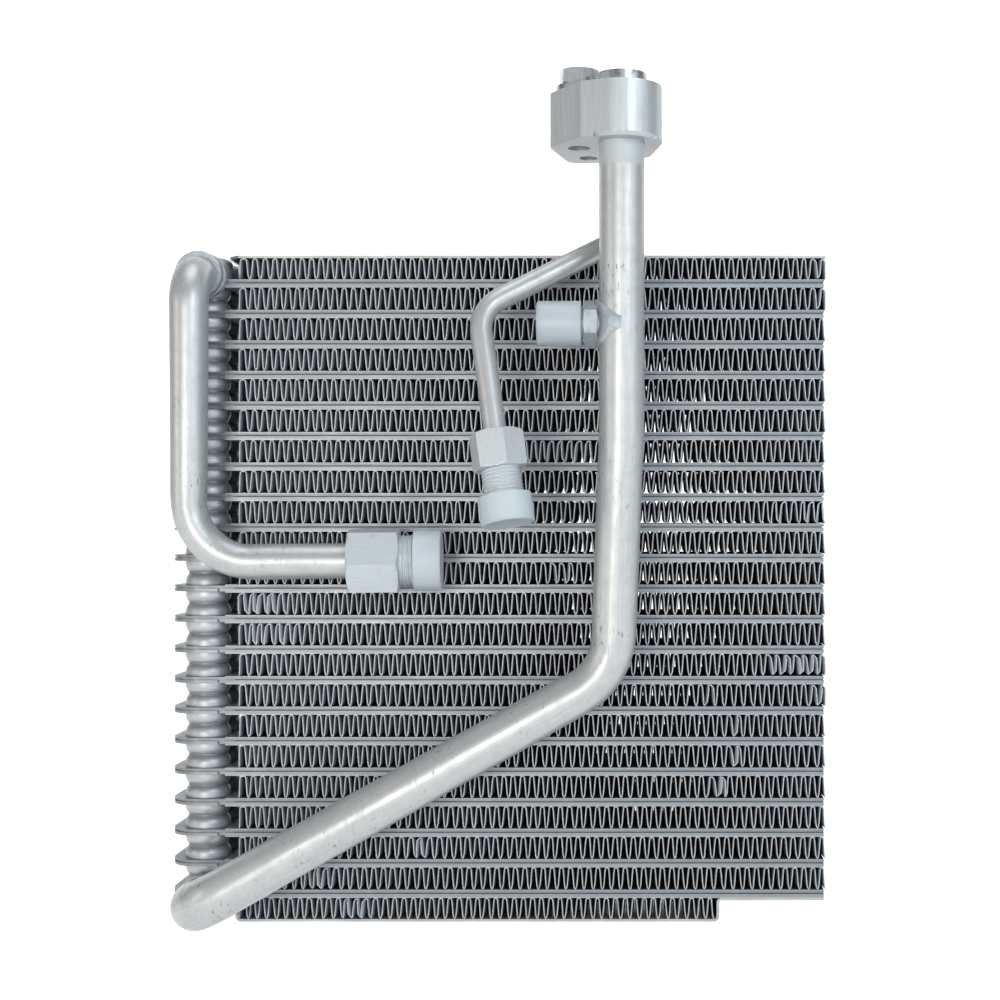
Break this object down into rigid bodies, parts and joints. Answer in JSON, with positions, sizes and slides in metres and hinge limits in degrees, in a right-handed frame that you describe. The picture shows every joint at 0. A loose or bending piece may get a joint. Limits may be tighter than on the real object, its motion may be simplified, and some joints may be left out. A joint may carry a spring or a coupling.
{
  "type": "evaporator core",
  "caption": "Laminated plate-and-fin evaporator with stacked-cup tanks, bent inlet, outlet and liquid pipes, capped nuts, a service port and a connector block.",
  "frame": {"origin": "on the underside of the bottom end plate, which the core stands on: halfway along the finned field and halfway from its front to its back", "axes": "+X from the tanks towards the free end of the fins, +Y from the pipes' side towards the back of the core, +Z from the bottom end plate towards the top end plate"},
  "size_m": [0.2478, 0.0989, 0.3118],
  "materials": {
    "plate": "satin",
    "fin": "satin",
    "end_sheet": "satin",
    "boss": "matte, heat-marked by the brazing",
    "pipe": "drawn, bright",
    "fitting": "machined",
    "cap_plastic": "milky, translucent",
    "zinc_steel": "zinc-plated, shiny"
  },
  "bodies": {
    "root": {"tube_01": "plate", "tube_02": "plate", "tube_03": "plate", "tube_04": "plate", "tube_05": "plate", "tube_06": "plate", "tube_07": "plate", "tube_08": "plate", "tube_09": "plate", "tube_10": "plate", "tube_11": "plate", "tube_12": "plate", "tube_13": "plate", "tube_14": "plate", "tube_15": "plate", "tube_16": "plate", "tube_17": "plate", "tube_18": "plate", "tube_19": "plate", "tube_20": "plate", "tube_21": "plate", "fin_01": "fin", "fin_02": "fin", "fin_03": "fin", "fin_04": "fin", "fin_05": "fin", "fin_06": "fin", "fin_07": "fin", "fin_08": "fin", "fin_09": "fin", "fin_10": "fin", "fin_11": "fin", "fin_12": "fin", "fin_13": "fin", "fin_14": "fin", "fin_15": "fin", "fin_16": "fin", "fin_17": "fin", "fin_18": "fin", "fin_19": "fin", "fin_20": "fin", "fin_21": "fin", "fin_22": "fin", "top_end_plate": "end_sheet", "bottom_end_plate": "end_sheet", "inlet_end_cup": "boss", "outlet_end_cup": "boss", "inlet_pipe": "pipe", "outlet_pipe": "pipe", "liquid_pipe": "pipe", "inlet_nut": "fitting", "liquid_nut": "fitting", "port_fitting": "fitting", "connector_block": "fitting", "inlet_cap": "cap_plastic", "liquid_cap": "cap_plastic", "port_cap": "cap_plastic", "shipping_plate": "zinc_steel", "shipping_bolt": "zinc_steel"}
  },
  "joints": []
}
